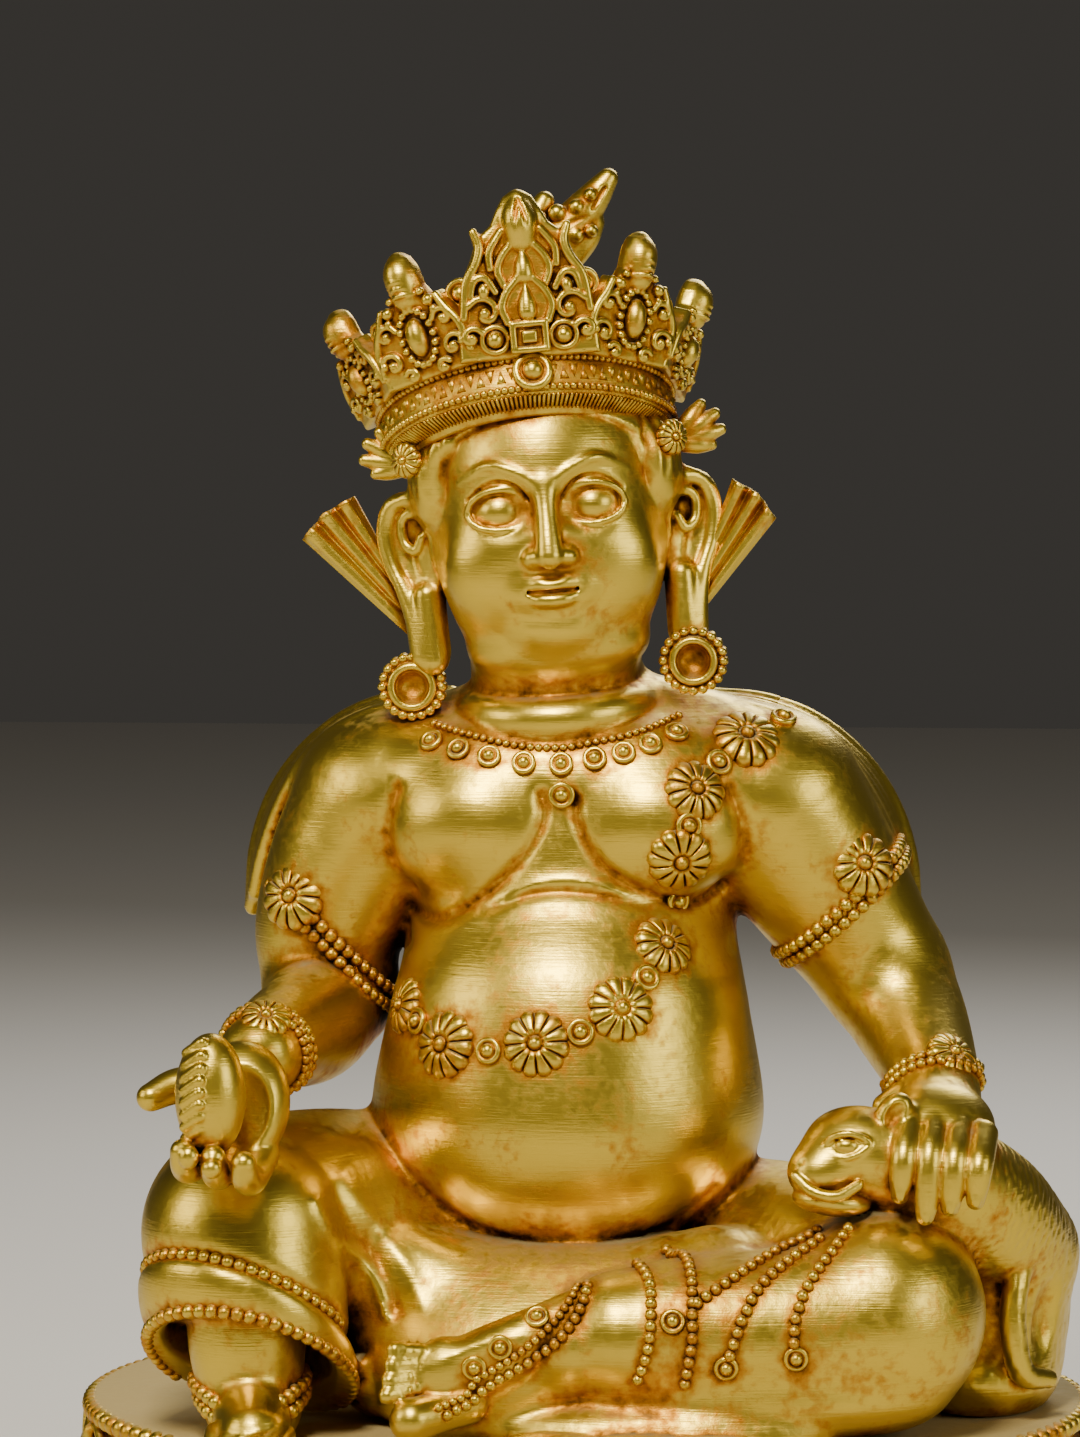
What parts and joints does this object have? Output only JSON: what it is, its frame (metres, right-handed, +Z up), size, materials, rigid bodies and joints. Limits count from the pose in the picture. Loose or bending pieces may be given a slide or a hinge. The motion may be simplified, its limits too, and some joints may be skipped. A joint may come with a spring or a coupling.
{
  "type": "jambhala statue",
  "caption": "Seated gilt figure of a wealth deity in a leaf crown, holding a fruit and a mongoose, on an oval lotus base.",
  "frame": {"origin": "centre of the base's underside", "axes": "+Z up, the figure faces -Y, +X towards the figure's left hand"},
  "size_m": [0.236, 0.212, 0.3122],
  "materials": {
    "gilt_copper_alloy": "polished gilding with brown patina in the recesses and dust on upward faces"
  },
  "bodies": {
    "root": {"jambhala_figure": "gilt_copper_alloy", "lotus_base": "gilt_copper_alloy"}
  },
  "joints": []
}
